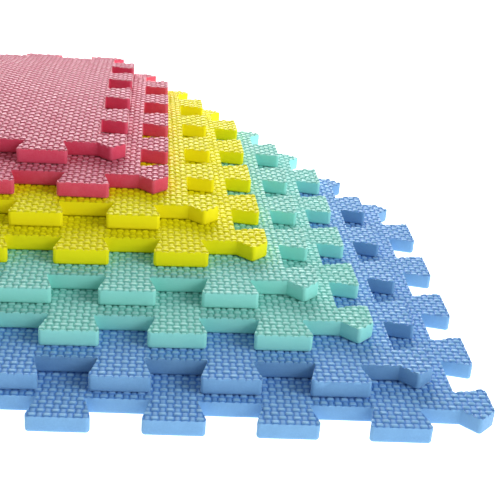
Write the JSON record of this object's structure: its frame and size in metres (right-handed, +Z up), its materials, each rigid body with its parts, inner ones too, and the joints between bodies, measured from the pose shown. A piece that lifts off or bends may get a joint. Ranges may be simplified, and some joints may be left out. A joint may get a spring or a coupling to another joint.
{
  "type": "stack of interlocking foam floor tiles",
  "caption": "Staggered stack of square foam puzzle floor tiles with dovetail tabs on every edge and an embossed top, in blue, mint green, yellow and pink.",
  "frame": {"origin": "middle of the bottom tile's underside, on the floor", "axes": "+Z up through the stack, +X to the right along the bottom tile's front edge, +Y to the back"},
  "size_m": [0.5489, 0.5329, 0.084],
  "materials": {
    "blue_foam": "matte",
    "green_foam": "matte",
    "yellow_foam": "matte",
    "pink_foam": "matte"
  },
  "bodies": {
    "blue_tile_lower": {"blue_tile_lower": "blue_foam"},
    "blue_tile_upper": {"blue_tile_upper": "blue_foam"},
    "green_tile_lower": {"green_tile_lower": "green_foam"},
    "green_tile_upper": {"green_tile_upper": "green_foam"},
    "yellow_tile_lower": {"yellow_tile_lower": "yellow_foam"},
    "yellow_tile_upper": {"yellow_tile_upper": "yellow_foam"},
    "pink_tile_lower": {"pink_tile_lower": "pink_foam"},
    "pink_tile_upper": {"pink_tile_upper": "pink_foam"}
  },
  "joints": [
    {"name": "blue_tile_upper_lift", "type": "slide", "parent": "blue_tile_lower", "child": "blue_tile_upper", "axis": [0, 0, 1], "range_m": [0, 0.06]},
    {"name": "green_tile_lower_lift", "type": "slide", "parent": "blue_tile_upper", "child": "green_tile_lower", "axis": [0, 0, 1], "range_m": [0, 0.06]},
    {"name": "green_tile_upper_lift", "type": "slide", "parent": "green_tile_lower", "child": "green_tile_upper", "axis": [0, 0, 1], "range_m": [0, 0.06]},
    {"name": "yellow_tile_lower_lift", "type": "slide", "parent": "green_tile_upper", "child": "yellow_tile_lower", "axis": [0, 0, 1], "range_m": [0, 0.06]},
    {"name": "yellow_tile_upper_lift", "type": "slide", "parent": "yellow_tile_lower", "child": "yellow_tile_upper", "axis": [0, 0, 1], "range_m": [0, 0.06]},
    {"name": "pink_tile_lower_lift", "type": "slide", "parent": "yellow_tile_upper", "child": "pink_tile_lower", "axis": [0, 0, 1], "range_m": [0, 0.06]},
    {"name": "pink_tile_upper_lift", "type": "slide", "parent": "pink_tile_lower", "child": "pink_tile_upper", "axis": [0, 0, 1], "range_m": [0, 0.06]}
  ]
}
